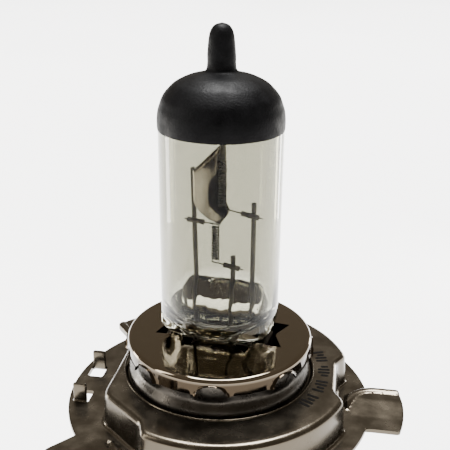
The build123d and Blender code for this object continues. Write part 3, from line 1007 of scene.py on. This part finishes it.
def wall_at(direction):
    """Radius of the wall in a direction."""
    radius = wall_radius
    if cos(direction) < -0.2:
        radius = soft_min(radius, -chord_flat / cos(direction), 1.0)
    for lug_turn, (clockwise, anticlockwise) in zip(lug_turns, flat_halves):
        offset = lug_offset(direction, lug_turn)
        if abs(offset) > radians(44):
            continue
        flat = lug_flat / cos(offset)
        far, steep = 99, radians(43)
        ahead = (lug_flat - anticlockwise) / (cos(offset) - sin(offset)) if offset < steep else far
        behind = (lug_flat - clockwise) / (cos(offset) + sin(offset)) if offset > -steep else far
        entry = soft_max(flat, soft_max(ahead, behind, 0.8), 1.4)
        radius = soft_min(radius, entry, 1.2)
    return radius


print("wall is", round(wall_at(0), 1), "to", round(wall_at(2 * pi / 5), 1), "mm from the axis")

# %% [markdown]
# ## Soft turns
# Sheet can't turn as sharply as a drawn line. The wall's radius is averaged over the directions
# near it, with the nearest counting most, and the plate's edge is rounded where a lug leaves it.

# %% Soften the wall and outline the plate
wall_steps, smooth_reach, smooth_spread = 1440, 14, 6
wall_samples = [wall_at(2 * pi * i / wall_steps) for i in range(wall_steps)]
weights = [exp(-((i / smooth_spread) ** 2)) for i in range(-smooth_reach, smooth_reach + 1)]
wall_line = []
for i in range(wall_steps):
    nearby = [wall_samples[(i + j - smooth_reach) % wall_steps] for j in range(len(weights))]
    wall_line.append(sum(w * radius for w, radius in zip(weights, nearby)) / sum(weights))


def pressed_wall(direction):
    """Radius of the wall with the soft turns that a press gives it."""
    place = direction / (2 * pi) * wall_steps
    before = int(place)
    share = place - before
    return wall_line[before % wall_steps] * (1 - share) + wall_line[(before + 1) % wall_steps] * share


def plate_at(direction):
    """Radius of the plate's edge in a direction."""
    radius = plate_radius
    for lug_turn in lug_turns:
        offset = lug_offset(direction, lug_turn)
        if abs(offset) < radians(30):
            side = lug_half / max(abs(sin(offset)), 0.02)
            end = lug_reach - 0.25 * (offset / 0.18) ** 2
            radius = soft_max(radius, soft_min(side, end, 0.7), 0.9)
    return radius


# More directions where the edge turns out to a lug.
flange_directions = set(round(t, 5) for t in turns(600))
for lug_turn in lug_turns:
    for side in (-1, 1):
        for step in range(36):
            flange_directions.add(round((lug_turn + side * radians(9 + step * 0.16)) % (2 * pi), 5))
flange_directions = sorted(flange_directions)
print("directions in a ring of the flange:", len(flange_directions))

# %% [markdown]
# ## Lug pads
# A rolled bead runs along the anticlockwise side of each lug and turns round its root, which
# stiffens it, and the lug's middle is raised beside the bead. Both are less than a millimetre
# high, so they are made by lifting the plate's points: the lift is a function of where a point
# lies on its lug.

# %% Lift the pads
bead_centre, bead_lift, bead_half, pad_lift = 4.15, 0.55, 0.75, 0.3
pad_bend, wall_foot, edge_round = 22.5, 0.55, 0.12


def clamped(value):
    """The value, kept between 0 and 1."""
    return min(1.0, max(0.0, value))


def lug_lift(x, y):
    """How far the plate's top is raised at a point."""
    lift = 0.0
    for lug_turn in lug_turns:
        out = x * cos(lug_turn) + y * sin(lug_turn)
        side = y * cos(lug_turn) - x * sin(lug_turn)
        if out < 16 or abs(side) > 6:
            continue
        if out > pad_bend:
            from_bead = abs(side - bead_centre)
            inside = bead_centre - side
        else:
            from_middle = hypot(out - pad_bend, side)
            from_bead = abs(from_middle - bead_centre)
            inside = bead_centre - from_middle
            lean = atan2(side, pad_bend - out)
            from_bead += max(0.0, radians(20) - lean) * 1.1
        bead = bead_lift * sqrt(max(0.0, 1 - (from_bead / bead_half) ** 2))
        flat = pad_lift * clamped(inside / 0.8) * clamped((side + 2.2) / 4.0)
        lift = max(lift, bead, flat)
    return lift


print("bead is", bead_lift, "mm high and the pad", pad_lift, "mm")

# %% [markdown]
# ## The flange's rings
# Each ring follows the wall, the plate's edge or a plain circle. They run from the hole over the
# plateau, down the wall, out over the plate, round its edge and back underneath.

# %% Press the flange
def flange_ring(place):
    """A ring of the flange: place gives a radius and a height for each direction."""
    ring = []
    for direction in flange_directions:
        radius, height = place(direction, pressed_wall(direction), plate_at(direction))
        ring.append((radius * cos(direction), radius * sin(direction), height))
    return ring


def fixed_place(radius, height):
    """A plain circle."""
    return lambda direction, foot, edge: (radius, height)


def wall_place(inset, height):
    """A ring that follows the wall."""
    return lambda direction, foot, edge: (foot - inset, height)


def plate_place(share, height=None):
    """A ring of the plate between the wall's foot (0) and the edge (1)."""

    def place(direction, foot, edge):
        start = foot + wall_foot
        radius = start + (edge - edge_round - start) * share
        if height is not None:
            return radius, height
        return radius, lug_lift(radius * cos(direction), radius * sin(direction))

    return place


def edge_place(height, proud):
    """A ring on the plate's cut edge, which rises with the lug's bead."""

    def place(direction, foot, edge):
        radius = edge - edge_round
        lift = lug_lift(radius * cos(direction), radius * sin(direction))
        return radius + proud, height + lift * (height > -sheet / 2)

    return place


top_bends = [radians(90 * i / 8) for i in range(9)]
foot_bends = [radians(90 * i / 5) for i in range(6)]
flange_places = [fixed_place(12.08, plateau_top - 0.35), fixed_place(12.9, plateau_top - 0.3)]
flange_places += [fixed_place(r, z) for r, z in arc(13.32, plateau_top - 0.02, 0.13, 180, 0, 6)]
flange_places += [fixed_place(13.6, plateau_top - 0.01), wall_place(1.6, plateau_top)]
flange_places += [
    wall_place(0.25 + 0.85 * (1 - sin(bend)), plateau_top - 0.85 * (1 - cos(bend))) for bend in top_bends
]
flange_places.append(wall_place(0.1, 2.4))
flange_places += [wall_place(-0.5 * (1 - cos(bend)), 0.5 * (1 - sin(bend))) for bend in foot_bends]
flange_places += [plate_place(i / 34) for i in range(35)]
flange_places += [edge_place(-0.05, 0.09), edge_place(-0.15, 0.12), edge_place(-0.48, 0.12)]
flange_places.append(edge_place(-0.6, 0.0))
flange_places += [plate_place(share, -sheet) for share in (0.75, 0.5, 0.25, 0)]
flange_places += [wall_place(0.5, -0.45), wall_place(0.75, 0.1), wall_place(0.9, 3.6)]
flange_places.append(wall_place(1.5, plateau_top - sheet))
flange_places += [fixed_place(radius, plateau_top - sheet) for radius in (13.0, 12.08)]
flange_rings = [flange_ring(place) for place in flange_places]
flange_skin = flip(join_rings(flange_rings, close=True))
print("rings in the flange:", len(flange_rings))

# %% [markdown]
# ## Lanced tabs
# Two small tabs are cut free on three sides beside the chord and bent up, and each leaves a window
# in the plate. A tab is a short strip of rings that follows its bend. A window's cutter is a bar
# with rounded upright edges.

# %% Shape a window's cutter and a tab
window_size, window_x = (2.3, 2.9), -19.1
tab_places = ((3.9, -1), (-5.6, 1))
tab_width, tab_height, tab_bend, tab_half_sheet = 1.9, 2.8, 0.55, 0.26
tab_sides = 20


def rounded_bar(centre, size, corner=0.18, steps=3):
    """A bar with rounded upright edges, as rings from its foot to its top."""
    rings = []
    half_x, half_y, half_z = (value / 2 for value in size)
    outline = []
    for quadrant in range(4):
        for i in range(steps + 1):
            bend = pi / 2 * (quadrant + i / steps)
            middle_x = (half_x - corner) * (1 if quadrant in (0, 3) else -1)
            middle_y = (half_y - corner) * (1 if quadrant in (0, 1) else -1)
            outline.append((middle_x + corner * cos(bend), middle_y + corner * sin(bend)))
    for height, shrink in ((-half_z, 0.3), (-half_z + 0.08, 0), (half_z - 0.08, 0), (half_z, 0.3)):
        ring = []
        for x, y in outline:
            scale_x, scale_y = 1 - shrink * corner / half_x, 1 - shrink * corner / half_y
            ring.append((centre[0] + x * scale_x, centre[1] + y * scale_y, centre[2] + height))
        rings.append(ring)
    foot, top = [(centre[0], centre[1], rings[0][0][2])], [(centre[0], centre[1], rings[-1][0][2])]
    return join_rings([foot, *rings, top])


def bent_tab(hinge, side):
    """A strip that leaves the plate level and turns up through a small bend."""
    middle = -sheet / 2
    line = [(hinge - side * 0.9, middle), (hinge - side * 0.2, middle)]
    for i in range(1, 7):
        bend = radians(90 * i / 6)
        y = hinge - side * 0.2 + side * tab_bend * sin(bend)
        line.append((y, middle + tab_bend * (1 - cos(bend))))
    line += [(line[-1][0], z) for z in (1.4, tab_height - 0.12, tab_height)]
    rings = []
    for i, (y, z) in enumerate(line):
        before, after = line[max(i - 1, 0)], line[min(i + 1, len(line) - 1)]
        run = Vector((0, after[0] - before[0], after[1] - before[1])).normalized()
        out = Vector((1, 0, 0)).cross(run)
        end = 0.75 if i in (0, len(line) - 1) else 1
        ring = []
        for t in turns(tab_sides):
            across = signed_power(cos(t), 0.25) * tab_width / 2 * (0.5 + 0.5 * end)
            thick = signed_power(sin(t), 0.4) * tab_half_sheet * end
            ring.append(Vector((window_x + across, y, z)) + out * thick)
        rings.append(ring)
    foot, top = ([sum(ring, Vector()) / tab_sides] for ring in (rings[0], rings[-1]))
    return flip(join_rings([foot, *rings, top]))


tab_skins = [bent_tab(hinge, side) for hinge, side in tab_places]
print("points in a tab:", len(tab_skins[0][0]))

# %% [markdown]
# ## Windows
# The windows are cut with a Boolean modifier, because they go through a skin that is already made.
# The cut flange and the two tabs then become one mesh, as they are one pressing.

# %% Cut the windows and join the tabs
flange_blank = add_piece("flange_blank", flange_skin, flange_metal)
cutters = []
for hinge, side in tab_places:
    middle = (window_x, hinge + side * window_size[1] / 2, -sheet / 2)
    cutter_skin = rounded_bar(middle, (*window_size, 3.0), 0.35)
    cutter = add_piece("window_cutter", cutter_skin, flange_metal)
    cut = flange_blank.modifiers.new("window", "BOOLEAN")
    cut.operation = "DIFFERENCE"
    cut.solver = "EXACT"
    cut.object = cutter
    cutters.append(cutter)
graph = bpy.context.evaluated_depsgraph_get()
cut_mesh = bpy.data.meshes.new_from_object(flange_blank.evaluated_get(graph))
cut_points = [tuple(v.co / METRE) for v in cut_mesh.vertices]
cut_faces = [tuple(p.vertices) for p in cut_mesh.polygons]
for leftover in (*cutters, flange_blank):
    bpy.data.objects.remove(leftover)
flange_skin = merge_skins((cut_points, cut_faces), *tab_skins)
flange = add_piece("pressed_flange", flange_skin, flange_metal, "locating_flange", sharp=40)
print("faces in the flange:", len(flange.data.polygons))

# %% [markdown]
# ## Marks on the plateau
# A real bulb has its rating printed here. A row of plain strokes of two lengths stands for it. Each
# stroke is a thin skin of dark ink that lies just on the metal, with rounded ends.

# %% Print the marks
mark_radii, mark_width, ink_height = (13.95, 15.65), 0.42, 0.03
ink, ink_tree, ink_shader = new_material("dark_ink")
ink_tones = mottle(ink_tree, 2500, (0.001, 0.0009, 0.0008), (0.003, 0.0027, 0.0024))
ink_tree.links.new(ink_tones, ink_shader.inputs["Base Color"])
ink_shader.inputs["Roughness"].default_value = 0.8
ink_shader.inputs["Specular IOR Level"].default_value = 0.03


def stroke(direction, inner, outer):
    """One stroke of ink that points away from the axis."""
    out = Vector((cos(direction), sin(direction), 0))
    side = Vector((-sin(direction), cos(direction), 0))
    outline = []
    for end, sign in ((outer, 1), (inner, -1)):
        for i in range(7):
            bend = radians(-90 + 180 * i / 6)
            reach = end + sign * (cos(bend) - 1) * mark_width / 2
            outline.append(out * reach + side * sin(bend) * sign * mark_width / 2)
    base = Vector((0, 0, plateau_top - 0.005))
    foot = [base + p for p in outline]
    top = [base + p + Vector((0, 0, ink_height)) for p in outline]
    foot_middle = out * (inner + outer) / 2 + base
    return join_rings([[foot_middle], foot, top, [foot_middle + Vector((0, 0, ink_height))]])


marks = []
for group, start in enumerate((22, 7, -8, -23)):
    for i in range(4):
        short = 0.45 * ((i + group) % 3 == 1)
        direction = radians(start - i * 2.9)
        marks.append(stroke(direction, mark_radii[0] + short, mark_radii[1] - short * 0.4))
add_piece("plateau_marks", merge_skins(*marks), ink)
print("strokes printed:", len(marks))

# %% [markdown]
# ## Rear pieces and hidden pieces
# The shell, the insulator, the blades, the leads, the foils and the sprung clamp have the right
# shape in the CAD model, so they stay and only get their finish.

# %% Give the CAD pieces their finish
finish_of = {"rear_shell": flange_metal, "insulator": moulding, "pinch_clamp": sleeve_metal}
for circuit in ("common", "main", "dipped"):
    finish_of[circuit + "_blade"] = blade_metal
    finish_of[circuit + "_lead"] = wire_metal
    finish_of[circuit + "_foil"] = wire_metal
for node, finish in finish_of.items():
    mesh = frame["nodes"][node].data
    mesh.materials.clear()
    mesh.materials.append(finish)
print("CAD pieces with a new finish:", len(finish_of))

# %% Print the size of the CAD box
print("CAD box", [round(c / METRE, 2) for c in (*cad_box[0], *cad_box[1])])
